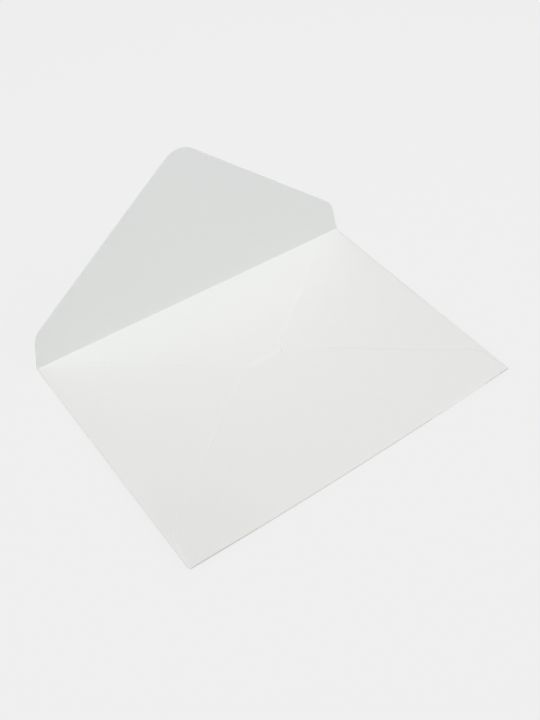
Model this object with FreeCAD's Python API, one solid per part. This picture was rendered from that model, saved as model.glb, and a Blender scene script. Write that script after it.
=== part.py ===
import FreeCAD, Part
import math
import os

# A paper envelope with its back upward and its closing flap standing open.
# It is one sheet of paper: a front panel, two side flaps folded in over it,
# a bottom flap folded up and glued over the side flaps, and a closing flap.
# The origin is the centre of the front panel's outer face, which lies down.
# +X runs along the top fold, +Y points to the closing flap and +Z is up.

# Size of the folded envelope, its paper and the clear height in its pocket, in mm
WIDTH = 162.0
DEPTH = 114.0
PAPER = 0.16
POCKET_GAP = 0.50

# A side fold stops this far short of the folds that it would meet at a corner
CORNER_NOTCH = 0.80

# Closing flap: it stands on the top fold, turned up this far from lying open
FLAP_ANGLE = 78.5
FLAP_FOLD_RADIUS = 0.50
FLAP_SHOULDER_INSET = 3.0
FLAP_SHOULDER_RISE = 15.4
FLAP_SHOULDER_RADIUS = 10.0
FLAP_APEX_RISE = 73.4
FLAP_APEX_RADIUS = 11.0

# Bottom flap: its glued edges slope from the shoulders to a short straight end
BOTTOM_SHOULDER_INSET = 2.4
BOTTOM_SHOULDER_RISE = 14.9
BOTTOM_SHOULDER_RADIUS = 8.0
BOTTOM_END_PAST_CENTRE = 7.5
BOTTOM_END_HALF = 11.6
BOTTOM_END_RADIUS = 5.0

# Side flaps: a short shallow edge by the fold, then a long slope to a blunt end
SIDE_SHOULDER_INSET = 11.5
SIDE_SHOULDER_DROP = 1.1
SIDE_SHOULDER_RADIUS = 8.0
SIDE_END_RADIUS = 10.0
LEFT_END_FROM_CENTRE = 10.4
LEFT_END_HALF = 9.7
RIGHT_END_FROM_CENTRE = 9.1
RIGHT_END_HALF = 10.3

# Half sizes, and the heights of the layers that lie over the front panel
HALF_WIDTH = WIDTH / 2.0
HALF_DEPTH = DEPTH / 2.0
SIDE_LEVEL = PAPER + POCKET_GAP
BOTTOM_LEVEL = SIDE_LEVEL + PAPER

# A fold turns half round between its two layers, so its radius follows their gap
HALF_TURN = 180.0
SIDE_FOLD_RADIUS = SIDE_LEVEL / 2.0 + PAPER / 2.0
BOTTOM_FOLD_RADIUS = BOTTOM_LEVEL / 2.0 + PAPER / 2.0

# Where the flat of the front panel ends at each fold
PANEL_HALF = HALF_WIDTH - SIDE_FOLD_RADIUS
PANEL_BOTTOM = -HALF_DEPTH + BOTTOM_FOLD_RADIUS
FLAP_SETBACK = FLAP_FOLD_RADIUS * math.tan(math.radians(FLAP_ANGLE / 2.0))
PANEL_TOP = HALF_DEPTH - FLAP_SETBACK
SIDE_FOLD_END = HALF_DEPTH - CORNER_NOTCH

RIGHTWARD = FreeCAD.Vector(1, 0, 0)
BACKWARD = FreeCAD.Vector(0, 1, 0)
UPWARD = FreeCAD.Vector(0, 0, 1)


def corner_turn(before, here, after, radius):
    """Start, middle and end of the arc that rounds one corner of an outline."""
    back = (before - here).normalize()
    ahead = (after - here).normalize()
    half = back.getAngle(ahead) / 2.0
    tangent = radius / math.tan(half)
    inward = (back + ahead).normalize()
    crown = here + inward * (radius / math.sin(half) - radius)
    return here + back * tangent, crown, here + ahead * tangent


def layer(corners, level):
    """Flat paper with its lower face at a height; corners are (x, y, radius)."""
    points = [FreeCAD.Vector(x, y, level) for x, y, radius in corners]
    turns = []
    for index, corner in enumerate(corners):
        after = points[(index + 1) % len(points)]
        turns.append(corner_turn(points[index - 1], points[index], after, corner[2]))
    edges = []
    last = turns[-1][2]
    for corner, (start, crown, finish) in zip(corners, turns):
        edges.append(Part.LineSegment(last, start).toShape())
        if corner[2] > 0.0:
            edges.append(Part.Arc(start, crown, finish).toShape())
        last = finish
    return Part.Face(Part.Wire(edges)).extrude(UPWARD * PAPER)


def bend(start, outward, along, radius, turn):
    """Bent strip whose outer face leaves a flat panel at start and curls upward."""
    centre = start + UPWARD * radius
    rims = []
    for distance in (radius - PAPER, radius):
        for share in (0.0, 0.5, 1.0):
            angle = math.radians(share * turn)
            out = outward * (distance * math.sin(angle))
            down = UPWARD * (distance * math.cos(angle))
            rims.append(centre + out - down)
    edges = [
        Part.Arc(rims[0], rims[1], rims[2]).toShape(),
        Part.LineSegment(rims[2], rims[5]).toShape(),
        Part.Arc(rims[5], rims[4], rims[3]).toShape(),
        Part.LineSegment(rims[3], rims[0]).toShape(),
    ]
    return Part.Face(Part.Wire(edges)).extrude(along)


def make_front_panel():
    """Front panel, flat on the table, as far as each fold."""
    return layer(
        [
            (-PANEL_HALF, PANEL_BOTTOM, 0.0),
            (PANEL_HALF, PANEL_BOTTOM, 0.0),
            (PANEL_HALF, PANEL_TOP, 0.0),
            (-PANEL_HALF, PANEL_TOP, 0.0),
        ],
        0.0,
    )


def make_side_flap(end_from_centre, end_half):
    """Right-hand side flap and its fold, with its blunt end by the middle."""
    shoulder_x = HALF_WIDTH - SIDE_SHOULDER_INSET
    shoulder_y = SIDE_FOLD_END - SIDE_SHOULDER_DROP
    flap = layer(
        [
            (PANEL_HALF, -SIDE_FOLD_END, 0.0),
            (PANEL_HALF, SIDE_FOLD_END, 0.0),
            (shoulder_x, shoulder_y, SIDE_SHOULDER_RADIUS),
            (end_from_centre, end_half, SIDE_END_RADIUS),
            (end_from_centre, -end_half, SIDE_END_RADIUS),
            (shoulder_x, -shoulder_y, SIDE_SHOULDER_RADIUS),
        ],
        SIDE_LEVEL,
    )
    start = FreeCAD.Vector(PANEL_HALF, -SIDE_FOLD_END, 0.0)
    along = BACKWARD * (2.0 * SIDE_FOLD_END)
    return flap.fuse(bend(start, RIGHTWARD, along, SIDE_FOLD_RADIUS, HALF_TURN))


def make_bottom_flap():
    """Bottom flap and its fold, lying on the side flaps where it is glued."""
    shoulder_x = HALF_WIDTH - BOTTOM_SHOULDER_INSET
    shoulder_y = -HALF_DEPTH + BOTTOM_SHOULDER_RISE
    flap = layer(
        [
            (-PANEL_HALF, PANEL_BOTTOM, 0.0),
            (PANEL_HALF, PANEL_BOTTOM, 0.0),
            (shoulder_x, shoulder_y, BOTTOM_SHOULDER_RADIUS),
            (BOTTOM_END_HALF, BOTTOM_END_PAST_CENTRE, BOTTOM_END_RADIUS),
            (-BOTTOM_END_HALF, BOTTOM_END_PAST_CENTRE, BOTTOM_END_RADIUS),
            (-shoulder_x, shoulder_y, BOTTOM_SHOULDER_RADIUS),
        ],
        BOTTOM_LEVEL,
    )
    start = FreeCAD.Vector(-PANEL_HALF, PANEL_BOTTOM, 0.0)
    along = RIGHTWARD * (2.0 * PANEL_HALF)
    return flap.fuse(bend(start, -BACKWARD, along, BOTTOM_FOLD_RADIUS, HALF_TURN))


def make_closing_flap():
    """Closing flap and its fold, drawn lying open and then turned up."""
    shoulder_x = HALF_WIDTH - FLAP_SHOULDER_INSET
    flap = layer(
        [
            (-HALF_WIDTH, FLAP_SETBACK, 0.0),
            (HALF_WIDTH, FLAP_SETBACK, 0.0),
            (shoulder_x, FLAP_SHOULDER_RISE, FLAP_SHOULDER_RADIUS),
            (0.0, FLAP_APEX_RISE, FLAP_APEX_RADIUS),
            (-shoulder_x, FLAP_SHOULDER_RISE, FLAP_SHOULDER_RADIUS),
        ],
        0.0,
    )
    flap.rotate(FreeCAD.Vector(0, 0, 0), RIGHTWARD, FLAP_ANGLE)
    flap.translate(BACKWARD * HALF_DEPTH)
    start = FreeCAD.Vector(-HALF_WIDTH, PANEL_TOP, 0.0)
    along = RIGHTWARD * WIDTH
    return flap.fuse(bend(start, BACKWARD, along, FLAP_FOLD_RADIUS, FLAP_ANGLE))


# The left side flap is cut a little shorter than the right one
front_panel = make_front_panel()
right_flap = make_side_flap(RIGHT_END_FROM_CENTRE, RIGHT_END_HALF)
left_flap = make_side_flap(LEFT_END_FROM_CENTRE, LEFT_END_HALF)
left_flap = left_flap.mirror(FreeCAD.Vector(0, 0, 0), RIGHTWARD)
bottom_flap = make_bottom_flap()
closing_flap = make_closing_flap()

# The sheet is one piece, so its panel, folds and flaps are one solid
sheet = front_panel.multiFuse([right_flap, left_flap, bottom_flap, closing_flap])
envelope = sheet.removeSplitter().Solids[0]

os.makedirs("parts", exist_ok=True)
envelope.exportStep("parts/envelope.step")
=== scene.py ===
import logging
import math
from dataclasses import dataclass
from enum import Enum

import bpy
import numpy as np
from mathutils import Matrix, Vector, kdtree
from mathutils.geometry import delaunay_2d_cdt


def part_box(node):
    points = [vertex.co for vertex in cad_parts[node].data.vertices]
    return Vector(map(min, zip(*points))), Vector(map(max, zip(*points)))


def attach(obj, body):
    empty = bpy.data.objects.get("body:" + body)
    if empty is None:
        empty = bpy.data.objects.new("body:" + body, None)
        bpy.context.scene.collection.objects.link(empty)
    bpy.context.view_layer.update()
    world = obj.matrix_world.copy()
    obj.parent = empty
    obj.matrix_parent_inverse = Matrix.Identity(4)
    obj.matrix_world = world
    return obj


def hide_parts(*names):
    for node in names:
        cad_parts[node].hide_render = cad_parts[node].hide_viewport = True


# An empty paper envelope lies back up on a pale table, with its pointed
# closing flap standing open. It is one sheet of white paper. This script cuts
# the flat blank, folds it to the width, depth and height of the frame's own
# envelope, lets it settle as paper does, and gives its inside, its outside and
# its cut edge their finishes.
# Sizes are in millimetres unless a name says otherwise.

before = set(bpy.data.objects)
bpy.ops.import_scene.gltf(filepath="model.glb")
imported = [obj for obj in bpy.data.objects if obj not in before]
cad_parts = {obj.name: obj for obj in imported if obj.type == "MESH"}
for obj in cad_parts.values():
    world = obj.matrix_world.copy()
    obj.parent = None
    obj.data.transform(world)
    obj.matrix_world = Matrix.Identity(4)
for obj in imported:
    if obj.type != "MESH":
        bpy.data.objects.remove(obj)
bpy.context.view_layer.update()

NODE = "envelope"
MM = 0.001
LEVEL = (1.0, 1.0, 0.0)
UPRIGHT = (1.0, 0.0, 1.0)
Point = tuple[float, float]
Triple = tuple[float, float, float]

# The tones of the light and shade painted on the paper
# Painted shade, warmer painted shade and painted light on the bottom fold's rim
FOLD_RIM_SHADE: Triple = (0.40, 0.32, 0.24)
FOLD_RIM_WARM_SHADE: Triple = (0.62, 0.43, 0.27)
FOLD_RIM_LIGHT: Triple = (1.0, 0.93, 0.84)
# Painted highlights and painted shade along edges, seams, folds and creases
PAINTED_HIGHLIGHT: Triple = (0.96, 0.96, 0.94)
PAINTED_SHADE: Triple = (0.45, 0.46, 0.43)

log = logging.getLogger("envelope")


class Panel(Enum):
    """The five panels of the sheet."""

    FRONT = 0
    RIGHT = 1
    LEFT = 2
    BOTTOM = 3
    CLOSING = 4


class Face(Enum):
    """The material slots of the sheet's mesh."""

    INSIDE = 0
    OUTSIDE = 1
    CUT_EDGE = 2


@dataclass(frozen=True)
class Corner:
    """A corner of a flat outline, and the radius that rounds it."""

    x: float
    y: float
    radius: float = 0.0

    def place(self) -> np.ndarray:
        """Return the corner as a flat point."""
        return np.array([self.x, self.y])


@dataclass(frozen=True)
class Fold:
    """A round fold, where a flap leaves the flat front panel and turns upward.

    The flat ends ``start`` from the panel's centre. The middle of the sheet
    then follows an arc of ``radius`` through ``turn`` radians and runs on flat.
    """

    start: float
    radius: float
    turn: float

    @property
    def arc(self) -> float:
        """Length of paper in the round of the fold."""
        return self.radius * self.turn

    def carry(self, distance: np.ndarray) -> tuple[np.ndarray, np.ndarray, np.ndarray]:
        """Place paper that lies past the start of the fold.

        Args:
            distance: How far past the start each point lies, along the paper.

        Returns:
            The distance out from the panel's centre, the rise above the middle
            of the panel's paper, and the angle turned, for each point.
        """
        angle = np.clip(distance / self.radius, 0.0, self.turn)
        beyond = np.maximum(distance - self.arc, 0.0)
        out = self.start + self.radius * np.sin(angle) + beyond * np.cos(angle)
        rise = self.radius * (1.0 - np.cos(angle)) + beyond * np.sin(angle)
        return out, rise, angle


def rounded_outline(corners: list[Corner], step: float) -> np.ndarray:
    """Turn corners into a closed outline with true arcs and even steps.

    Args:
        corners: The corners in order round the outline.
        step: The longest distance between two points.

    Returns:
        The outline's points, one per row, without repeating the first.
    """
    least = 8
    points: list[np.ndarray] = []
    arcs: list[np.ndarray] = []
    for index, corner in enumerate(corners):
        here = corner.place()
        back = corners[index - 1].place() - here
        ahead = corners[(index + 1) % len(corners)].place() - here
        back /= np.linalg.norm(back)
        ahead /= np.linalg.norm(ahead)
        if corner.radius == 0.0:
            arcs.append(here[None])
            continue
        half = math.acos(float(np.clip(back @ ahead, -1.0, 1.0))) / 2.0
        middle = (back + ahead) / np.linalg.norm(back + ahead)
        centre = here + middle * corner.radius / math.sin(half)
        sweep = math.pi - 2.0 * half
        count = max(least, math.ceil(corner.radius * sweep / step))
        side = np.array([-middle[1], middle[0]])
        side *= np.sign(side @ ahead)
        angle = np.linspace(-sweep / 2.0, sweep / 2.0, count + 1)[:, None]
        spokes = np.sin(angle) * side - np.cos(angle) * middle
        arcs.append(centre + corner.radius * spokes)
    for index, arc in enumerate(arcs):
        first = arcs[(index + 1) % len(arcs)][0]
        last = arc[-1]
        count = max(least, math.ceil(np.linalg.norm(first - last) / step))
        share = np.linspace(0.0, 1.0, count + 1)[1:-1, None]
        points.append(arc)
        points.append(last + share * (first - last))
    return np.vstack(points)


def inside_outline(points: np.ndarray, outline: np.ndarray) -> np.ndarray:
    """Tell which flat points lie inside a closed outline.

    Args:
        points: The points to test, one per row.
        outline: The outline's points in order.

    Returns:
        One truth value per point.
    """
    inside = np.zeros(len(points), bool)
    x, y = points.T
    for (x0, y0), (x1, y1) in zip(outline, np.roll(outline, -1, axis=0)):
        if y0 == y1:
            continue
        crosses = (y0 > y) != (y1 > y)
        inside ^= crosses & (x < (x1 - x0) * (y - y0) / (y1 - y0) + x0)
    return inside


def rim_of(triangles: np.ndarray) -> np.ndarray:
    """Find the edges that only one triangle has.

    Args:
        triangles: The triangles' corners by index, all wound the same way.

    Returns:
        The edges from first to second point, in the triangles' direction.
    """
    directed = {(int(a), int(b)) for t in triangles for a, b in zip(t, np.roll(t, -1))}
    return np.array(sorted((a, b) for a, b in directed if (b, a) not in directed))


def inward_from_rim(flat: np.ndarray, rim: np.ndarray) -> np.ndarray:
    """Point each rim point of a flat mesh towards the paper inside it.

    Args:
        flat: The flat points, one per row.
        rim: The rim's edges, counter-clockwise.

    Returns:
        A unit vector for each rim point and zero for every other point.
    """
    along = np.zeros_like(flat)
    step = flat[rim[:, 1]] - flat[rim[:, 0]]
    step /= np.linalg.norm(step, axis=1)[:, None]
    np.add.at(along, rim[:, 0], step)
    np.add.at(along, rim[:, 1], step)
    inward = np.column_stack([-along[:, 1], along[:, 0]])
    length = np.linalg.norm(inward, axis=1)
    on_rim = length > 0.0
    inward[on_rim] /= length[on_rim, None]
    return inward


def away_from(points: np.ndarray, outline: np.ndarray, room: float) -> np.ndarray:
    """Drop the flat points that lie too near to an outline's points.

    Args:
        points: The points to sift, one per row.
        outline: The outline's points.
        room: The least distance that a point keeps.

    Returns:
        The points that are left.
    """
    tree = kdtree.KDTree(len(outline))
    for index, (x, y) in enumerate(outline):
        tree.insert((x, y, 0.0), index)
    tree.balance()
    clear = [tree.find((x, y, 0.0))[2] >= room for x, y in points]
    return points[np.array(clear)]


def graded(
    low: float,
    high: float,
    step: float,
    rounds: list[Point],
    fine: float,
) -> np.ndarray:
    """Space grid lines evenly, and closely where the paper turns round a fold.

    Args:
        low: The first line.
        high: The last line.
        step: The usual distance between lines.
        rounds: The start and end of each fold's round.
        fine: The distance between lines inside a round.

    Returns:
        The places of the lines, in order.
    """
    stops = sorted({low, high, *(edge for pair in rounds for edge in pair)})
    lines: list[np.ndarray] = []
    for first, last in zip(stops, stops[1:]):
        pitch = fine if (first, last) in rounds else step
        count = max(1, math.ceil((last - first) / pitch))
        lines.append(np.linspace(first, last, count + 1)[:-1])
    return np.append(np.concatenate(lines), high)


class NodeBench:
    """A short way to place and join the nodes of one node tree."""

    column_width: int = 220
    row_height: int = 200

    def __init__(self, tree: bpy.types.NodeTree) -> None:
        """Start on the tree to fill."""
        self.tree = tree

    def add(self, kind: str, column: int = 0, row: int = 0, **settings: object) -> bpy.types.Node:
        """Place a node.

        Args:
            kind: Blender's name for the type of node.
            column: How many columns from the left it stands.
            row: How many rows down it stands.
            **settings: Properties to set on it.

        Returns:
            The new node.
        """
        node = self.tree.nodes.new(kind)
        node.location = (column * self.column_width, -row * self.row_height)
        for name, value in settings.items():
            setattr(node, name, value)
        return node

    def join(self, source: bpy.types.NodeSocket, target: bpy.types.NodeSocket) -> None:
        """Link two sockets."""
        self.tree.links.new(source, target)

    def _maths(
        self,
        kind: str,
        operation: str,
        terms: tuple[object, ...],
        column: int,
        row: int,
    ) -> bpy.types.Node:
        """Place a maths node of either kind and fill its inputs.

        Args:
            kind: Blender's name for the type of node.
            operation: The operation's name.
            terms: A number, a place or a socket for each input.
            column: How many columns from the left it stands.
            row: How many rows down it stands.

        Returns:
            The new node.
        """
        node = self.add(kind, column, row, operation=operation)
        for socket, term in zip(node.inputs, terms):
            if isinstance(term, bpy.types.NodeSocket):
                self.join(term, socket)
            else:
                socket.default_value = term
        return node

    def value(
        self,
        operation: str,
        *terms: object,
        column: int = 0,
        row: int = 0,
    ) -> bpy.types.NodeSocket:
        """Return what a maths node makes of numbers or sockets."""
        return self._maths("ShaderNodeMath", operation, terms, column, row).outputs[0]

    def vector(
        self,
        operation: str,
        *terms: object,
        column: int = 0,
        row: int = 0,
    ) -> bpy.types.Node:
        """Return a vector maths node on places or sockets."""
        return self._maths("ShaderNodeVectorMath", operation, terms, column, row)

    def fade(
        self,
        distance: bpy.types.NodeSocket,
        reach: bpy.types.NodeSocket,
        column: int,
    ) -> bpy.types.NodeSocket:
        """Fall smoothly from 1 at no distance to 0 at a reach.

        Args:
            distance: The socket that holds the distance.
            reach: The socket that holds the reach.
            column: How many columns from the left the node stands.

        Returns:
            The socket that holds the result.
        """
        node = self.add("ShaderNodeMapRange", column, interpolation_type="SMOOTHSTEP")
        self.join(distance, node.inputs["Value"])
        self.join(reach, node.inputs["From Max"])
        node.inputs["To Min"].default_value = 1.0
        node.inputs["To Max"].default_value = 0.0
        return node.outputs["Result"]

    def tint(
        self,
        colour: bpy.types.NodeSocket,
        mask: bpy.types.NodeSocket,
        strength: float,
        tone: Triple,
        row: int,
    ) -> bpy.types.NodeSocket:
        """Lay a tone over a colour where a mask says so.

        Args:
            colour: The socket that holds the colour.
            mask: The socket that holds the mask.
            strength: How much of the tone shows where the mask is 1.
            tone: The tone.
            row: How many rows down the nodes stand.

        Returns:
            The socket that holds the tinted colour.
        """
        over = self.add("ShaderNodeMix", 6, row, data_type="RGBA")
        share = self.value("MULTIPLY", mask, strength, column=5, row=row)
        self.join(share, over.inputs["Factor"])
        self.join(colour, over.inputs["A"])
        over.inputs["B"].default_value = (*tone, 1.0)
        return over.outputs["Result"]


def background_rays(bench: NodeBench) -> bpy.types.NodeSocket:
    """Tell the rays that see the plain background from those that carry its light.

    Args:
        bench: The nodes of the table's material or of the world.

    Returns:
        A socket that is 1 for camera, glossy and transmission rays, otherwise 0.
    """
    rays = bench.add("ShaderNodeLightPath", -3, 0).outputs
    seen = bench.value("MAXIMUM", rays["Is Camera Ray"], rays["Is Glossy Ray"], column=-2)
    return bench.value("MAXIMUM", seen, rays["Is Transmission Ray"], column=-1)


def new_group(
    name: str,
    inputs: dict[str, tuple[str, object]],
    outputs: dict[str, str],
) -> bpy.types.NodeTree:
    """Make an empty shader node group with named sockets.

    Args:
        name: The group's name.
        inputs: Each input's kind of socket and its usual value, by name.
        outputs: Each output's kind of socket, by name.

    Returns:
        The group, with its input and output nodes in place.
    """
    group = bpy.data.node_groups.new(name, "ShaderNodeTree")
    for label, (kind, usual) in inputs.items():
        socket = group.interface.new_socket(name=label, in_out="INPUT", socket_type=kind)
        if usual is not None:
            socket.default_value = usual
    for label, kind in outputs.items():
        group.interface.new_socket(name=label, in_out="OUTPUT", socket_type=kind)
    bench = NodeBench(group)
    bench.add("NodeGroupInput", -1)
    bench.add("NodeGroupOutput", 8)
    return group


class PaperEffects:
    """The effects that the sheet's three finishes share, each one node group."""

    cloud_share: float = 0.7

    def __init__(self) -> None:
        """Build the groups."""
        self.formation = self._formation()
        self.crease = self._crease()
        self.speck = self._speck()

    def _formation(self) -> bpy.types.NodeTree:
        """Build the cloudy look-through and the felt of fibres in white paper.

        Returns:
            A group that gives a tone from 0 to 1, and a height in metres.
        """
        group = new_group(
            "paper_formation",
            {
                "Position": ("NodeSocketVector", None),
                "Clouds per Metre": ("NodeSocketFloat", 220.0),
                "Fibres per Metre": ("NodeSocketFloat", 2600.0),
                "Fibre Height": ("NodeSocketFloat", 0.00001),
            },
            {"Tone": "NodeSocketFloat", "Height": "NodeSocketFloat"},
        )
        bench = NodeBench(group)
        start = group.nodes["Group Input"]
        end = group.nodes["Group Output"]
        clouds = bench.add("ShaderNodeTexNoise", 1, 0)
        clouds.inputs["Detail"].default_value = 4.0
        clouds.inputs["Roughness"].default_value = 0.62
        bench.join(start.outputs["Position"], clouds.inputs["Vector"])
        bench.join(start.outputs["Clouds per Metre"], clouds.inputs["Scale"])
        fibres = bench.add("ShaderNodeTexNoise", 1, 1)
        fibres.inputs["Detail"].default_value = 3.0
        fibres.inputs["Roughness"].default_value = 0.7
        fibres.inputs["Distortion"].default_value = 1.2
        bench.join(start.outputs["Position"], fibres.inputs["Vector"])
        bench.join(start.outputs["Fibres per Metre"], fibres.inputs["Scale"])
        cloudy = bench.value("MULTIPLY", clouds.outputs["Fac"], self.cloud_share, column=2)
        fibrous = 1.0 - self.cloud_share
        grain = bench.value("MULTIPLY", fibres.outputs["Fac"], fibrous, column=2, row=1)
        bench.join(bench.value("ADD", cloudy, grain, column=3), end.inputs["Tone"])
        felt = bench.value("ADD", fibres.outputs["Fac"], clouds.outputs["Fac"], column=3, row=1)
        height = bench.value("MULTIPLY", felt, start.outputs["Fibre Height"], column=4, row=1)
        bench.join(height, end.inputs["Height"])
        return group

    @staticmethod
    def _crease() -> bpy.types.NodeTree:
        """Build a soft mark along a straight line between two points.

        Returns:
            A group that gives 1 on the line and falls to 0 beside it.
        """
        group = new_group(
            "crease_mark",
            {
                "Position": ("NodeSocketVector", None),
                "Start": ("NodeSocketVector", None),
                "End": ("NodeSocketVector", None),
                "Half Width": ("NodeSocketFloat", 0.0006),
            },
            {"Mask": "NodeSocketFloat"},
        )
        bench = NodeBench(group)
        start = group.nodes["Group Input"]
        end = group.nodes["Group Output"]
        place = start.outputs["Position"]
        first = start.outputs["Start"]
        last = start.outputs["End"]
        here = bench.vector("SUBTRACT", place, first, column=1).outputs["Vector"]
        line = bench.vector("SUBTRACT", last, first, column=1, row=1).outputs["Vector"]
        along = bench.vector("DOT_PRODUCT", here, line, column=2)
        square = bench.vector("DOT_PRODUCT", line, line, column=2, row=1)
        share = bench.add("ShaderNodeMath", 3, 0, operation="DIVIDE", use_clamp=True)
        bench.join(along.outputs["Value"], share.inputs[0])
        bench.join(square.outputs["Value"], share.inputs[1])
        foot = bench.add("ShaderNodeVectorMath", 4, 0, operation="SCALE")
        bench.join(line, foot.inputs["Vector"])
        bench.join(share.outputs[0], foot.inputs["Scale"])
        away = bench.vector("DISTANCE", here, foot.outputs["Vector"], column=5)
        mask = bench.fade(away.outputs["Value"], start.outputs["Half Width"], 6)
        bench.join(mask, end.inputs["Mask"])
        return group

    @staticmethod
    def _speck() -> bpy.types.NodeTree:
        """Build a small round fleck of darker fibre.

        Returns:
            A group that gives 1 in the fleck and 0 outside it.
        """
        group = new_group(
            "fibre_speck",
            {
                "Position": ("NodeSocketVector", None),
                "Centre": ("NodeSocketVector", None),
                "Radius": ("NodeSocketFloat", 0.0004),
            },
            {"Mask": "NodeSocketFloat"},
        )
        bench = NodeBench(group)
        start = group.nodes["Group Input"]
        end = group.nodes["Group Output"]
        place = start.outputs["Position"]
        away = bench.vector("DISTANCE", place, start.outputs["Centre"], column=1)
        mask = bench.fade(away.outputs["Value"], start.outputs["Radius"], 2)
        bench.join(mask, end.inputs["Mask"])
        return group


@dataclass(frozen=True)
class Crease:
    """A faint crease in the paper, from one point to another."""

    start: Point
    end: Point
    half_width: float = 0.9

    def mask(
        self,
        bench: NodeBench,
        effects: PaperEffects,
        place: bpy.types.NodeSocket,
        row: int,
    ) -> bpy.types.NodeSocket:
        """Add the crease's mask to a material.

        Args:
            bench: The material's nodes.
            effects: The shared node groups.
            place: Where on the level sheet the point is.
            row: How many rows down the nodes stand.

        Returns:
            The socket that holds the mask.
        """
        mark = bench.add("ShaderNodeGroup", 3, row, node_tree=effects.crease)
        bench.join(place, mark.inputs["Position"])
        mark.inputs["Start"].default_value = (MM * self.start[0], MM * self.start[1], 0.0)
        mark.inputs["End"].default_value = (MM * self.end[0], MM * self.end[1], 0.0)
        mark.inputs["Half Width"].default_value = MM * self.half_width
        return mark.outputs["Mask"]


@dataclass(frozen=True)
class Trace:
    """A line of light or shade painted on the paper.

    A thin one is painted shade along a fold or a seam, or a painted highlight
    along an edge, and a wide one is a soft painted shade.
    """

    path: tuple[Point, ...]
    tone: Triple
    strength: float
    half_width: float = 0.42

    def mask(
        self,
        bench: NodeBench,
        effects: PaperEffects,
        place: bpy.types.NodeSocket,
        row: int,
    ) -> bpy.types.NodeSocket:
        """Add the mask of all the line's straight stretches to a material.

        Args:
            bench: The material's nodes.
            effects: The shared node groups.
            place: Where on the level sheet the point is.
            row: How many rows down the nodes stand.

        Returns:
            The socket that holds the mask.
        """
        masks: list[bpy.types.NodeSocket] = []
        for start, end in zip(self.path, self.path[1:]):
            stretch = Crease(start, end, self.half_width)
            masks.append(stretch.mask(bench, effects, place, row + len(masks)))
        whole = masks[0]
        for mask in masks[1:]:
            whole = bench.value("MAXIMUM", whole, mask, column=4, row=row)
        return whole


@dataclass(frozen=True)
class Speck:
    """A small dark fleck in the paper, placed on a level or an upright plane."""

    centre: Triple
    strength: float
    radius: float = 0.45
    plane: Triple = LEVEL
    tone: Triple = (0.50, 0.48, 0.45)

    def mask(
        self,
        bench: NodeBench,
        effects: PaperEffects,
        place: bpy.types.NodeSocket,
        row: int,
    ) -> bpy.types.NodeSocket:
        """Add the fleck's mask to a material.

        Args:
            bench: The material's nodes.
            effects: The shared node groups.
            place: Where on the sheet the point is.
            row: How many rows down the nodes stand.

        Returns:
            The socket that holds the mask.
        """
        mark = bench.add("ShaderNodeGroup", 3, row, node_tree=effects.speck)
        flat = bench.vector("MULTIPLY", place, self.plane, column=2, row=row)
        bench.join(flat.outputs["Vector"], mark.inputs["Position"])
        centre = np.multiply(self.centre, self.plane) * MM
        mark.inputs["Centre"].default_value = centre.tolist()
        mark.inputs["Radius"].default_value = MM * self.radius
        return mark.outputs["Mask"]


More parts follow.
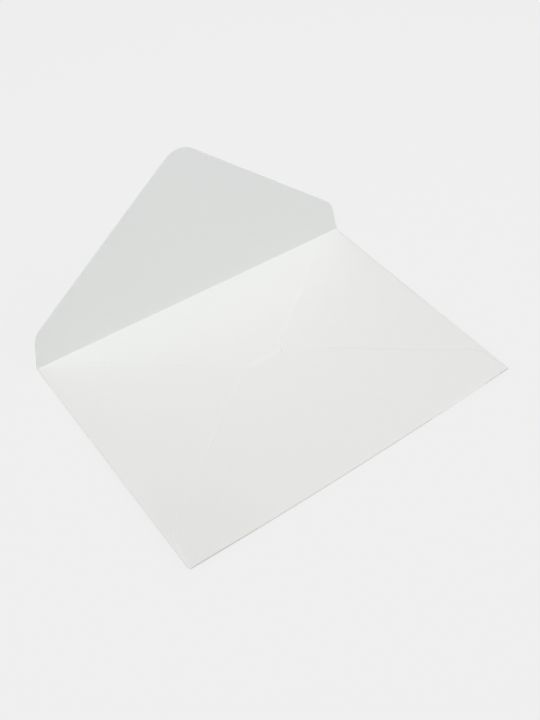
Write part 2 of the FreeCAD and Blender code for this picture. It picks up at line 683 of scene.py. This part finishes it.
@dataclass(frozen=True)
class PaperFinish:
    """White wove envelope paper, as one face of the sheet shows it."""

    name: str
    light_tone: Triple
    dark_tone: Triple
    roughness: float = 0.82
    specular: float = 0.30
    clouds_per_metre: float = 190.0
    fibres_per_metre: float = 2400.0
    fibre_height: float = 0.004
    creases: tuple[Crease, ...] = ()
    crease_depth: float = 0.05
    specks: tuple[Speck, ...] = ()
    traces: tuple[Trace, ...] = ()

    def material(self, effects: PaperEffects) -> bpy.types.Material:
        """Build the finish.

        Args:
            effects: The shared node groups.

        Returns:
            The material.
        """
        material = bpy.data.materials.new(self.name)
        material.use_nodes = True
        material.node_tree.nodes.clear()
        bench = NodeBench(material.node_tree)
        place = bench.add("ShaderNodeTexCoord", 0, 0).outputs["Object"]
        formation = bench.add("ShaderNodeGroup", 1, 0, node_tree=effects.formation)
        formation.inputs["Clouds per Metre"].default_value = self.clouds_per_metre
        formation.inputs["Fibres per Metre"].default_value = self.fibres_per_metre
        formation.inputs["Fibre Height"].default_value = self.fibre_height * MM
        bench.join(place, formation.inputs["Position"])
        tone = bench.add("ShaderNodeMix", 2, 0, data_type="RGBA")
        bench.join(formation.outputs["Tone"], tone.inputs["Factor"])
        tone.inputs["A"].default_value = (*self.light_tone, 1.0)
        tone.inputs["B"].default_value = (*self.dark_tone, 1.0)
        colour = self._marked(bench, effects, place, tone.outputs["Result"])
        height = self._creased(bench, effects, place, formation.outputs["Height"])
        bump = bench.add("ShaderNodeBump", 7, 1)
        bump.inputs["Distance"].default_value = 1.0
        bench.join(height, bump.inputs["Height"])
        shader = bench.add("ShaderNodeBsdfPrincipled", 8, 0)
        shader.inputs["Roughness"].default_value = self.roughness
        shader.inputs["Specular IOR Level"].default_value = self.specular
        bench.join(colour, shader.inputs["Base Color"])
        bench.join(bump.outputs["Normal"], shader.inputs["Normal"])
        output = bench.add("ShaderNodeOutputMaterial", 9, 0)
        bench.join(shader.outputs["BSDF"], output.inputs["Surface"])
        return material

    def _marked(
        self,
        bench: NodeBench,
        effects: PaperEffects,
        place: bpy.types.NodeSocket,
        colour: bpy.types.NodeSocket,
    ) -> bpy.types.NodeSocket:
        """Lay the flecks and then the traced lines of painted light and shade over the paper's
        colour.

        Args:
            bench: The material's nodes.
            effects: The shared node groups.
            place: Where on the sheet the point is.
            colour: The colour without the marks.

        Returns:
            The colour with them.
        """
        row = 2
        for speck in self.specks:
            mask = speck.mask(bench, effects, place, row)
            colour = bench.tint(colour, mask, speck.strength, speck.tone, row)
            row += 1
        # The traces are painted shade and painted highlights
        level = bench.vector("MULTIPLY", place, LEVEL, column=2, row=row).outputs["Vector"]
        for trace in self.traces:
            mask = trace.mask(bench, effects, level, row)
            colour = bench.tint(colour, mask, trace.strength, trace.tone, row)
            row += len(trace.path)
        return colour

    def _creased(
        self,
        bench: NodeBench,
        effects: PaperEffects,
        place: bpy.types.NodeSocket,
        height: bpy.types.NodeSocket,
    ) -> bpy.types.NodeSocket:
        """Raise the paper along each crease.

        Args:
            bench: The material's nodes.
            effects: The shared node groups.
            place: Where on the sheet the point is.
            height: The height without creases.

        Returns:
            The height with them.
        """
        level = bench.vector("MULTIPLY", place, LEVEL, column=2, row=1).outputs["Vector"]
        depth = MM * self.crease_depth
        # The creases' nodes stand above those of the colour
        for row, crease in enumerate(self.creases, start=-len(self.creases)):
            mask = crease.mask(bench, effects, level, row)
            rise = bench.value("MULTIPLY", mask, depth, column=4, row=row)
            height = bench.value("ADD", height, rise, column=5, row=row)
        return height


@dataclass(frozen=True)
class Settling:
    """How the folded sheet lies: pressed at its folds, curled and puffed.

    A corner lift is how far a bottom corner curls off the table, and the lifts
    across and along are the powers by which it grows. A gap is the clear height
    between the front panel and the flaps folded over it, and a reach is how far
    from an edge the gap takes to change. The puff is the pocket's own swelling,
    which starts ``puff_from`` of the way down from the top fold. The flap twist
    is how far the closing flap's halves turn out of its plane.
    """

    left_corner_lift: float = 2.6
    right_corner_lift: float = 2.6
    lift_across: float = 2.0
    left_lift_along: float = 1.0
    right_lift_along: float = 1.3
    pressed_gap: float = 0.04
    shoulder_gap: float = 0.32
    shoulder_reach: float = 2.2
    mouth_reach: float = 9.0
    puff: float = 0.38
    puff_from: float = 0.45
    left_corner_gap: float = 0.25
    corner_reach: float = 60.0
    bottom_gap: float = 0.10
    bottom_reach: float = 4.0
    flap_twist: float = 0.6

    def curl(self, across: np.ndarray, down: np.ndarray) -> np.ndarray:
        """Give the height of the sheet off the table.

        Args:
            across: Place from the left fold, -1, to the right fold, 1.
            down: Place from the top fold, 0, to the bottom fold, 1.

        Returns:
            The height at each place.
        """
        lift = np.where(across < 0.0, self.left_corner_lift, self.right_corner_lift)
        along = np.where(across < 0.0, self.left_lift_along, self.right_lift_along)
        return lift * np.abs(across) ** self.lift_across * down**along

    def gap(
        self,
        across: np.ndarray,
        down: np.ndarray,
        from_side: np.ndarray,
        from_mouth: np.ndarray,
        from_bottom: np.ndarray,
    ) -> np.ndarray:
        """Give the clear height in the pocket.

        Args:
            across: Place from the left fold, -1, to the right fold, 1.
            down: Place from the top fold, 0, to the bottom fold, 1.
            from_side: Distance from the nearer side fold.
            from_mouth: Distance down from the edge of the pocket's mouth.
            from_bottom: Distance from the bottom fold.

        Returns:
            The clear height at each place.
        """
        covered = np.clip((down - self.puff_from) / (1.0 - self.puff_from), 0.0, 1.0)
        swell = np.clip(1.0 - across**2, 0.0, 1.0) * np.sin(math.pi * covered)
        shoulder = 1.0 - np.exp(-np.maximum(from_side, 0.0) / self.shoulder_reach)
        mouth = 1.0 - np.exp(-np.maximum(from_mouth, 0.0) / self.mouth_reach)
        inner = (self.shoulder_gap * shoulder + self.puff * swell) * mouth
        near_bottom = np.exp(-np.maximum(from_bottom, 0.0) / self.bottom_reach)
        from_left = (1.0 + across) * np.max(from_side)
        near_left = np.clip(1.0 - from_left / self.corner_reach, 0.0, 1.0)
        edge = (self.bottom_gap + self.left_corner_gap * near_left**2) * near_bottom
        return self.pressed_gap + inner + edge


@dataclass(frozen=True)
class EnvelopeSheet:
    """The one sheet of paper: its blank, its folds and how it lies.

    The side flaps' and bottom flap's sizes are those that they have once they
    are folded over, measured from the folds or from the panel's centre.
    """

    half_width: float
    half_depth: float
    flap_angle: float
    paper: float = 0.16
    pocket_gap: float = 0.50
    corner_notch: float = 0.80
    flap_fold_radius: float = 0.50
    flap_shoulder_inset: float = 3.0
    flap_shoulder_rise: float = 15.4
    flap_shoulder_radius: float = 10.0
    flap_apex_rise: float = 73.4
    flap_apex_radius: float = 11.0
    bottom_shoulder_inset: float = 2.4
    bottom_shoulder_rise: float = 14.9
    bottom_shoulder_radius: float = 8.0
    bottom_end_past_centre: float = 7.5
    bottom_end_half: float = 11.6
    bottom_end_radius: float = 5.0
    side_shoulder_inset: float = 11.5
    side_shoulder_drop: float = 1.1
    side_shoulder_radius: float = 8.0
    side_end_radius: float = 10.0
    left_end_from_centre: float = 10.4
    left_end_half: float = 9.7
    right_end_from_centre: float = 9.1
    right_end_half: float = 10.3
    edge_step: float = 1.0
    grid_step: float = 1.5
    fold_step: float = 0.13
    cut_slope: float = 0.20
    edge_margin: float = 0.30
    grid_room: float = 0.55
    margin_room: float = 0.8
    least_area: float = 0.00005
    glued_depth: float = 0.02
    hair: float = 0.0001
    settling: Settling = Settling()

    @classmethod
    def from_frame(cls) -> "EnvelopeSheet":
        """Take the sizes of the body and the lie of the flap from the frame.

        Returns:
            The sheet that fits the frame's envelope.
        """
        low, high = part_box(NODE)
        half_width = high.x / MM
        half_depth = -low.y / MM
        angle = math.atan2(high.z / MM, high.y / MM - half_depth)
        return cls(half_width, half_depth, angle)

    @property
    def side_fold(self) -> Fold:
        """The fold of either side flap."""
        radius = (self.pocket_gap + self.paper) / 2.0
        return Fold(self.half_width - radius - self.paper / 2.0, radius, math.pi)

    @property
    def bottom_fold(self) -> Fold:
        """The fold of the bottom flap, which also takes in the side flaps."""
        radius = (self.pocket_gap + 2.0 * self.paper) / 2.0
        return Fold(self.half_depth - radius - self.paper / 2.0, radius, math.pi)

    @property
    def top_fold(self) -> Fold:
        """The fold that the closing flap stands on."""
        radius = self.flap_fold_radius - self.paper / 2.0
        return Fold(self.half_depth - self._flap_setback, radius, self.flap_angle)

    @property
    def _flap_setback(self) -> float:
        """How far the flats on either side of the top fold stop from its sharp line."""
        return self.flap_fold_radius * math.tan(self.flap_angle / 2.0)

    @property
    def _side_fold_end(self) -> float:
        """How far from the centre the side folds end."""
        return self.half_depth - self.corner_notch

    def _side_corners(self, end_from_centre: float, end_half: float) -> list[Corner]:
        """List a side flap's corners, unfolded to the right, from bottom to top.

        Args:
            end_from_centre: How far from the panel's centre the folded flap ends.
            end_half: Half the height of the flap's blunt end.

        Returns:
            The corners on the flat blank.
        """
        fold = self.side_fold
        over = 2.0 * fold.start + fold.arc
        shoulder_x = over - (self.half_width - self.side_shoulder_inset)
        shoulder_y = self._side_fold_end - self.side_shoulder_drop
        end_x = over - end_from_centre
        half = [
            Corner(fold.start, self._side_fold_end),
            Corner(fold.start + fold.arc, self._side_fold_end),
            Corner(shoulder_x, shoulder_y, self.side_shoulder_radius),
            Corner(end_x, end_half, self.side_end_radius),
        ]
        lower = [Corner(c.x, -c.y, c.radius) for c in half]
        return lower + half[::-1]

    def _closing_corners(self) -> list[Corner]:
        """List the closing flap's corners, unfolded, from right to left.

        Returns:
            The corners on the flat blank.
        """
        fold = self.top_fold
        base = fold.start + fold.arc
        lost = base - self._flap_setback
        shoulder_x = self.half_width - self.flap_shoulder_inset
        right = [
            Corner(self.side_fold.start, fold.start),
            Corner(self.half_width, fold.start),
            Corner(self.half_width, base),
            Corner(shoulder_x, lost + self.flap_shoulder_rise, self.flap_shoulder_radius),
        ]
        apex = Corner(0.0, lost + self.flap_apex_rise, self.flap_apex_radius)
        left = [Corner(-c.x, c.y, c.radius) for c in reversed(right)]
        return right + [apex] + left

    def _bottom_corners(self) -> list[Corner]:
        """List the bottom flap's corners, unfolded, from left to right.

        Returns:
            The corners on the flat blank.
        """
        fold = self.bottom_fold
        base = fold.start + fold.arc
        over = base + fold.start
        shoulder_x = self.half_width - self.bottom_shoulder_inset
        shoulder_y = over - self.half_depth + self.bottom_shoulder_rise
        end_y = over + self.bottom_end_past_centre
        left = [
            Corner(-self.side_fold.start, -fold.start),
            Corner(-self.side_fold.start, -base),
            Corner(-shoulder_x, -shoulder_y, self.bottom_shoulder_radius),
            Corner(-self.bottom_end_half, -end_y, self.bottom_end_radius),
        ]
        right = [Corner(-c.x, c.y, c.radius) for c in reversed(left)]
        return left + right

    def blank_outline(self) -> np.ndarray:
        """Join the four flaps' corners round the front panel.

        Returns:
            The outline of the flat blank, counter-clockwise.
        """
        right = self._side_corners(self.right_end_from_centre, self.right_end_half)
        left = self._side_corners(self.left_end_from_centre, self.left_end_half)
        left = [Corner(-c.x, -c.y, c.radius) for c in left]
        corners = right + self._closing_corners() + left + self._bottom_corners()
        return rounded_outline(corners, self.edge_step)

    def seed_points(self, outline: np.ndarray) -> np.ndarray:
        """Choose the points that divide the blank.

        A row lies just inside the outline, for the slope of the cut edge, and a
        grid fills the rest, closely where the paper turns round a fold.

        Args:
            outline: The blank's outline.

        Returns:
            The points, one per row, with the outline's own first.
        """
        side = self.side_fold
        top = self.top_fold
        bottom = self.bottom_fold
        low = outline.min(axis=0)
        high = outline.max(axis=0)
        across = [(side.start, side.start + side.arc), (-side.start - side.arc, -side.start)]
        along = [(top.start, top.start + top.arc), (-bottom.start - bottom.arc, -bottom.start)]
        x = graded(low[0], high[0], self.grid_step, across, self.fold_step)
        y = graded(low[1], high[1], self.grid_step, along, self.fold_step)
        grid = np.stack(np.meshgrid(x, y), axis=-1).reshape(-1, 2)
        grid = grid[inside_outline(grid, outline)]
        grid = away_from(grid, outline, self.grid_room * self.edge_step)
        order = np.arange(len(outline))
        loop = np.column_stack([order, np.roll(order, -1)])
        margin = outline + self.edge_margin * inward_from_rim(outline, loop)
        margin = margin[inside_outline(margin, outline)]
        margin = away_from(margin, outline, self.margin_room * self.edge_margin)
        return np.vstack([outline, margin, grid])

    def cut_blank(self) -> tuple[np.ndarray, np.ndarray]:
        """Divide the flat blank into small triangles.

        Returns:
            The flat points, one per row, and the triangles' corners by index,
            counter-clockwise as seen from the sheet's inside face.
        """
        outline = self.blank_outline()
        points = [Vector(p) for p in self.seed_points(outline)]
        loop = list(range(len(outline)))
        inside_only = 1
        weld = 1e-6
        found = delaunay_2d_cdt(points, [], [loop], inside_only, weld, False)
        flat = np.array(found[0])
        triangles = np.array([tuple(face) for face in found[2]])
        first, second, third = (flat[triangles[:, k]] for k in range(3))
        one = second - first
        two = third - first
        area = (one[:, 0] * two[:, 1] - one[:, 1] * two[:, 0]) / 2.0
        kept = inside_outline((first + second + third) / 3.0, outline)
        kept &= area > self.least_area
        return flat, triangles[kept]

    def panels(self, flat: np.ndarray) -> np.ndarray:
        """Say which panel each point of the blank belongs to.

        Args:
            flat: The blank's points.

        Returns:
            The value of a Panel for each point.
        """
        x, y = flat.T
        side = self.side_fold.start + self.hair
        belongs = np.full(len(flat), Panel.FRONT.value)
        belongs[x > side] = Panel.RIGHT.value
        belongs[x < -side] = Panel.LEFT.value
        belongs[y > self.top_fold.start + self.hair] = Panel.CLOSING.value
        belongs[y < -self.bottom_fold.start - self.hair] = Panel.BOTTOM.value
        return belongs

    def fold_up(self, flat: np.ndarray, belongs: np.ndarray, offset: float) -> np.ndarray:
        """Fold one face of the blank round its four folds.

        Args:
            flat: The face's points.
            belongs: The value of a Panel for each point.
            offset: How far the face lies from the middle of the paper, inward.

        Returns:
            The face's points in space.
        """
        places = np.column_stack([flat, np.full(len(flat), self.paper / 2.0 + offset)])
        turns = [
            (Panel.RIGHT, self.side_fold, 0, 1.0),
            (Panel.LEFT, self.side_fold, 0, -1.0),
            (Panel.BOTTOM, self.bottom_fold, 1, -1.0),
            (Panel.CLOSING, self.top_fold, 1, 1.0),
        ]
        for panel, fold, axis, sign in turns:
            rows = belongs == panel.value
            out, rise, angle = fold.carry(sign * flat[rows, axis] - fold.start)
            places[rows, axis] = sign * (out - offset * np.sin(angle))
            places[rows, 2] = self.paper / 2.0 + rise + offset * np.cos(angle)
        return places

    def settle(self, places: np.ndarray, belongs: np.ndarray) -> np.ndarray:
        """Let the folded sheet curl and settle, without leaving the table.

        Args:
            places: Points of the sheet in space.
            belongs: The value of a Panel for each point.

        Returns:
            The points as they come to lie.
        """
        how = self.settling
        x, y, z = places.T
        across = x / self.half_width
        down = np.clip((self.half_depth - y) / (2.0 * self.half_depth), 0.0, 1.0)
        from_side = self.half_width - np.abs(x)
        from_bottom = self.half_depth + y
        gap = how.gap(across, down, from_side, self.from_mouth(x, y), from_bottom)
        share = np.clip((z - self.paper) / self.pocket_gap, 0.0, 1.0)
        glued = np.where(belongs == Panel.BOTTOM.value, self.glued_depth, 0.0)
        rise = how.curl(across, down) + (gap - self.pocket_gap - glued) * share
        closing = belongs == Panel.CLOSING.value
        twist = how.flap_twist * across * z / self.flap_apex_rise
        settled = places.copy()
        settled[:, 2] += np.where(closing, 0.0, rise)
        settled[:, 1] -= np.where(closing, twist, 0.0)
        return settled

    def from_mouth(self, x: np.ndarray, y: np.ndarray) -> np.ndarray:
        """Give the distance of each point below the side flaps' upper edges.

        Args:
            x: Places from the left to the right.
            y: Places from the bottom to the top.

        Returns:
            The distances, negative inside the mouth.
        """
        shoulder_x = self.half_width - self.side_shoulder_inset
        shoulder_y = self._side_fold_end - self.side_shoulder_drop
        end_x = np.where(x < 0.0, self.left_end_from_centre, self.right_end_from_centre)
        end_y = np.where(x < 0.0, self.left_end_half, self.right_end_half)
        slope = (shoulder_y - end_y) / (shoulder_x - end_x)
        return (end_y + slope * (np.abs(x) - end_x) - y) / np.hypot(slope, 1.0)

    def build(self) -> bpy.types.Object:
        """Make the sheet as one closed mesh in the frame.

        Returns:
            The object, with its three material slots still to be filled.
        """
        flat, triangles = self.cut_blank()
        belongs = self.panels(flat)
        rim = rim_of(triangles)
        trimmed = flat + self.cut_slope * inward_from_rim(flat, rim)
        half = self.paper / 2.0
        inside = self.settle(self.fold_up(flat, belongs, half), belongs)
        outside = self.settle(self.fold_up(trimmed, belongs, -half), belongs)
        count = len(flat)
        faces = [tuple(int(i) for i in t) for t in triangles]
        faces += [tuple(int(i) + count for i in t[::-1]) for t in triangles]
        faces += [(int(b), int(a), int(a) + count, int(b) + count) for a, b in rim]
        mesh = bpy.data.meshes.new("envelope_sheet")
        mesh.from_pydata(np.vstack([inside, outside]) * MM, [], faces)
        shares = [len(triangles), len(triangles), len(rim)]
        slots = np.repeat([Face.INSIDE.value, Face.OUTSIDE.value, Face.CUT_EDGE.value], shares)
        mesh.polygons.foreach_set("material_index", slots)
        mesh.polygons.foreach_set("use_smooth", slots != Face.CUT_EDGE.value)
        mesh.validate()
        mesh.update()
        sheet = bpy.data.objects.new("envelope_sheet", mesh)
        bpy.context.scene.collection.objects.link(sheet)
        return sheet

    @staticmethod
    def inside_finish() -> PaperFinish:
        """Describe the sheet's inside, with the painted highlights and shadow by the pocket's
        mouth.

        Returns:
            The finish of the face that shows in the mouth and on the flap.
        """
        # Painted light: a broad band above the bottom flap's end and lines beside the right side
        # flap's edge; painted shadow at that flap's end
        end_line_highlight = ((-6.0, 8.2), (8.4, 8.2))
        rim = ((42.6, 35.2), (32.8, 28.4), (23.8, 22.7), (17.1, 17.9))
        rim_end_highlight = ((17.1, 17.9), (13.7, 15.2), (10.6, 12.3), (8.3, 8.6))
        faint_shade = ((14.1, 14.9), (11.1, 11.2))
        end_shade = ((11.1, 11.2), (9.0, 7.5))
        return PaperFinish(
            "paper_inside",
            light_tone=(0.851, 0.869, 0.846),
            dark_tone=(0.831, 0.848, 0.824),
            specks=(Speck((30.5, 60.6, 17.6), 0.5, plane=UPRIGHT),),
            traces=(
                Trace(end_line_highlight, PAINTED_HIGHLIGHT, 0.17, 2.3),
                Trace(rim, PAINTED_HIGHLIGHT, 0.12, 0.6),
                Trace(rim_end_highlight, PAINTED_HIGHLIGHT, 0.14, 0.7),
                Trace(faint_shade, PAINTED_SHADE, 0.18, 0.28),
                Trace(end_shade, PAINTED_SHADE, 0.40, 0.28),
            ),
        )

    def outside_finish(self) -> PaperFinish:
        """Describe the sheet's outside, with painted shade and light along its bottom fold and
        painted shade and highlights by its seams and edges.

        Returns:
            The finish of the face that shows on the folded flaps.
        """
        side = self.half_width
        bottom = self.half_depth
        # Paths of painted shade and painted highlights
        left_fold_shade = ((-side, -bottom), (-side, bottom))
        seam = ((26.0, -3.2), (76.0, -40.2), (78.6, -44.0), (80.0, -54.0))
        right_rim_highlight = ((41.2, 33.6), (25.0, 22.0))
        left_rim_highlight = ((-52.0, 41.5), (-24.0, 20.6))
        flap_end_shadow = ((11.7, 12.4), (9.9, 9.9), (8.2, 6.6))
        curved_crease_shade = ((24.3, -34.7), (25.9, -37.2), (25.9, -41.1))
        left_corner = ((-76.0, -54.0), (-70.0, -46.0))
        return PaperFinish(
            "paper_outside",
            light_tone=(0.852, 0.869, 0.838),
            dark_tone=(0.832, 0.849, 0.818),
            creases=(
                Crease((24.3, -34.7), (26.2, -41.0)),
                Crease((-19.0, -20.0), (-15.5, -26.0)),
            ),
            specks=(Speck((4.8, -14.2, 0.0), 0.25),),
            traces=(
                # Painted shade along the bottom fold's rim, lighter in the middle, then a painted
                # light and a warmer painted shade towards the right corner
                Trace(((-side, -bottom), (-52.0, -bottom)), FOLD_RIM_SHADE, 0.36),
                Trace(((-52.0, -bottom), (36.0, -bottom)), FOLD_RIM_SHADE, 0.22),
                Trace(((42.0, -bottom), (66.0, -bottom)), FOLD_RIM_LIGHT, 0.50, 0.6),
                Trace(((67.0, -bottom), (75.0, -bottom)), FOLD_RIM_WARM_SHADE, 0.35),
                Trace(((75.5, -bottom), (side, -bottom)), FOLD_RIM_SHADE, 0.58),
                # Painted shade on the left fold, painted shadow along the right seam and at the
                # right flap's end, painted highlights on the side flaps' upper edges, painted
                # shade along the curved crease and a wide soft painted shade over the lower left
                # corner
                Trace(left_fold_shade, PAINTED_SHADE, 0.08),
                Trace(seam, PAINTED_SHADE, 0.20, 0.38),
                Trace(right_rim_highlight, PAINTED_HIGHLIGHT, 0.18, 0.7),
                Trace(flap_end_shadow, PAINTED_SHADE, 0.42, 0.32),
                Trace(left_rim_highlight, PAINTED_HIGHLIGHT, 0.15, 0.6),
                Trace(curved_crease_shade, PAINTED_SHADE, 0.08, 0.35),
                Trace(left_corner, PAINTED_SHADE, 0.055, 42.0),
            ),
        )

    @staticmethod
    def cut_edge_finish() -> PaperFinish:
        """Describe the sheet's cut edge, which is rougher and painted lighter than the paper, a
        painted highlight for the light that it catches.

        Returns:
            The finish of the thin rim round the sheet.
        """
        return PaperFinish(
            "paper_cut_edge",
            # The lighter tones are a painted highlight on the cut edge
            light_tone=(0.97, 0.975, 0.955),
            dark_tone=(0.92, 0.925, 0.905),
            roughness=0.9,
            fibres_per_metre=5200.0,
        )

    def dress(self, sheet: bpy.types.Object, effects: PaperEffects) -> None:
        """Give the sheet's inside, outside and cut edge their finishes.

        Args:
            sheet: The sheet's object.
            effects: The shared node groups.
        """
        finishes = (self.inside_finish(), self.outside_finish(), self.cut_edge_finish())
        for finish in finishes:
            sheet.data.materials.append(finish.material(effects))


@dataclass(frozen=True)
class TableTop:
    """The pale table that the envelope lies on.

    The evenness is the part of its look that light and shade leave alone. It
    grows with the distance from the envelope, so that no horizon shows.
    """

    radius: float = 2500.0
    drop: float = 0.02
    rings: int = 12
    sectors: int = 64
    colour: Triple = (0.86, 0.86, 0.86)
    seen_colour: Triple = (0.873, 0.873, 0.873)
    near: float = 300.0
    far: float = 1200.0
    evenness_near: float = 0.92
    evenness_far: float = 0.975

    def build(self) -> bpy.types.Object:
        """Make the table's top as a disc of rings, just under the envelope.

        Returns:
            The table's object.
        """
        angles = np.linspace(0.0, 2.0 * math.pi, self.sectors, endpoint=False)
        spokes = np.column_stack([np.cos(angles), np.sin(angles), 0.0 * angles])
        radii = self.radius * (np.arange(1, self.rings + 1) / self.rings) ** 2
        points = np.vstack([np.zeros((1, 3)), *(r * spokes for r in radii)])
        points[:, 2] = -self.drop
        faces: list[tuple[int, ...]] = []
        for sector in range(self.sectors):
            after = (sector + 1) % self.sectors
            faces.append((0, 1 + sector, 1 + after))
            for ring in range(self.rings - 1):
                inner = 1 + ring * self.sectors
                outer = inner + self.sectors
                faces.append((inner + sector, outer + sector, outer + after, inner + after))
        mesh = bpy.data.meshes.new("table_top")
        mesh.from_pydata(points * MM, [], faces)
        mesh.materials.append(self.material())
        table = bpy.data.objects.new("table_top", mesh)
        bpy.context.scene.collection.objects.link(table)
        return table

    def material(self) -> bpy.types.Material:
        """Build a matt pale surface that keeps a faint shadow and looks nearly even.

        Returns:
            The material.
        """
        material = bpy.data.materials.new("pale_table")
        material.use_nodes = True
        material.node_tree.nodes.clear()
        bench = NodeBench(material.node_tree)
        place = bench.add("ShaderNodeTexCoord", -3, 1).outputs["Object"]
        away = bench.vector("LENGTH", place, column=-2, row=1)
        share = bench.add("ShaderNodeMapRange", -1, 1)
        bench.join(away.outputs["Value"], share.inputs["Value"])
        share.inputs["From Min"].default_value = self.near * MM
        share.inputs["From Max"].default_value = self.far * MM
        share.inputs["To Min"].default_value = self.evenness_near
        share.inputs["To Max"].default_value = self.evenness_far
        seen = background_rays(bench)
        even = bench.value("MULTIPLY", seen, share.outputs["Result"], column=1)
        lit = bench.add("ShaderNodeBsdfDiffuse", 1, 1)
        lit.inputs["Color"].default_value = (*self.colour, 1.0)
        flat = bench.add("ShaderNodeEmission", 1, 2)
        flat.inputs["Color"].default_value = (*self.seen_colour, 1.0)
        mix = bench.add("ShaderNodeMixShader", 2, 0)
        bench.join(even, mix.inputs["Fac"])
        bench.join(lit.outputs["BSDF"], mix.inputs[1])
        bench.join(flat.outputs["Emission"], mix.inputs[2])
        output = bench.add("ShaderNodeOutputMaterial", 3, 0)
        bench.join(mix.outputs["Shader"], output.inputs["Surface"])
        return material


@dataclass(frozen=True)
class SoftPanel:
    """A large soft light of the studio."""

    name: str
    place: Triple
    size: float
    power: float
    colour: Triple = (1.0, 1.0, 1.0)
    aim: Triple = (0.0, 0.0, 20.0)

    def hang(self) -> bpy.types.Object:
        """Place the light and point it at the envelope.

        Returns:
            The light's object.
        """
        lamp = bpy.data.lights.new(self.name, "AREA")
        lamp.shape = "SQUARE"
        lamp.size = self.size * MM
        lamp.energy = self.power
        lamp.color = self.colour
        light = bpy.data.objects.new(self.name, lamp)
        bpy.context.scene.collection.objects.link(light)
        light.location = Vector(self.place) * MM
        look = Vector(self.aim) - Vector(self.place)
        light.rotation_euler = look.to_track_quat("-Z", "Y").to_euler()
        light.visible_camera = False
        return light


@dataclass(frozen=True)
class Studio:
    """The plain soft light round the envelope."""

    sky_strength: float = 0.239
    seen_strength: float = 0.861
    panels: tuple[SoftPanel, ...] = (
        SoftPanel("high_left_light", (-700.0, -250.0, 900.0), 800.0, 5.06),
        SoftPanel("high_right_light", (700.0, -250.0, 900.0), 800.0, 2.88, (1.0, 0.95, 0.98)),
        SoftPanel("left_light", (-1150.0, 0.0, 650.0), 1100.0, 3.16),
        SoftPanel("right_light", (850.0, -850.0, 650.0), 1100.0, 4.25, (0.90, 0.93, 1.0)),
        SoftPanel("fill_light", (150.0, 150.0, 400.0), 300.0, 0.340, (1.0, 0.93, 0.93)),
    )

    def light(self) -> None:
        """Light the scene with an even sky and the soft panels."""
        world = bpy.data.worlds.new("studio_sky")
        bpy.context.scene.world = world
        world.use_nodes = True
        world.node_tree.nodes.clear()
        bench = NodeBench(world.node_tree)
        strength = bench.add("ShaderNodeMapRange", 1, 0)
        bench.join(background_rays(bench), strength.inputs["Value"])
        strength.inputs["To Min"].default_value = self.sky_strength
        strength.inputs["To Max"].default_value = self.seen_strength
        sky = bench.add("ShaderNodeBackground", 2, 0)
        bench.join(strength.outputs["Result"], sky.inputs["Strength"])
        sky.inputs["Color"].default_value = (1.0, 1.0, 1.0, 1.0)
        output = bench.add("ShaderNodeOutputWorld", 3, 0)
        bench.join(sky.outputs["Background"], output.inputs["Surface"])
        for panel in self.panels:
            panel.hang()


@dataclass(frozen=True)
class PhotoCamera:
    """The photograph's camera, solved from the corners of the envelope's body."""

    image_height: float = 720.0
    focal_pixels: float = 862.7
    sensor: float = 36.0
    nearest: float = 10.0
    place: Triple = (-155.12, -179.71, 274.03)
    aim: Triple = (1.75, 6.33, 0.0)
    roll: float = 4.17

    def stand(self) -> bpy.types.Object:
        """Place the camera and make it the scene's own.

        Returns:
            The camera's object.
        """
        lens = bpy.data.cameras.new("photo_camera")
        lens.sensor_fit = "AUTO"
        lens.sensor_width = self.sensor
        lens.lens = self.sensor * self.focal_pixels / self.image_height
        lens.clip_start = self.nearest * MM
        camera = bpy.data.objects.new("photo_camera", lens)
        bpy.context.scene.collection.objects.link(camera)
        look = Vector(self.aim) - Vector(self.place)
        level = look.to_track_quat("-Z", "Y").to_matrix().to_4x4()
        tip = Matrix.Rotation(math.radians(self.roll), 4, "Z")
        camera.matrix_world = Matrix.Translation(Vector(self.place) * MM) @ level @ tip
        bpy.context.scene.camera = camera
        return camera


def main() -> None:
    """Build the envelope, its table, its light and the camera."""
    logging.basicConfig(level=logging.INFO, format="%(name)s: %(message)s")
    effects = PaperEffects()
    design = EnvelopeSheet.from_frame()
    sheet = design.build()
    design.dress(sheet, effects)
    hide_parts(NODE)
    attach(sheet, "root")
    log.info("sheet: %d faces", len(sheet.data.polygons))
    table = TableTop().build()
    log.info("table: %d faces", len(table.data.polygons))
    Studio().light()
    PhotoCamera().stand()
    bpy.context.scene.view_settings.view_transform = "Standard"


if __name__ == "__main__":
    main()
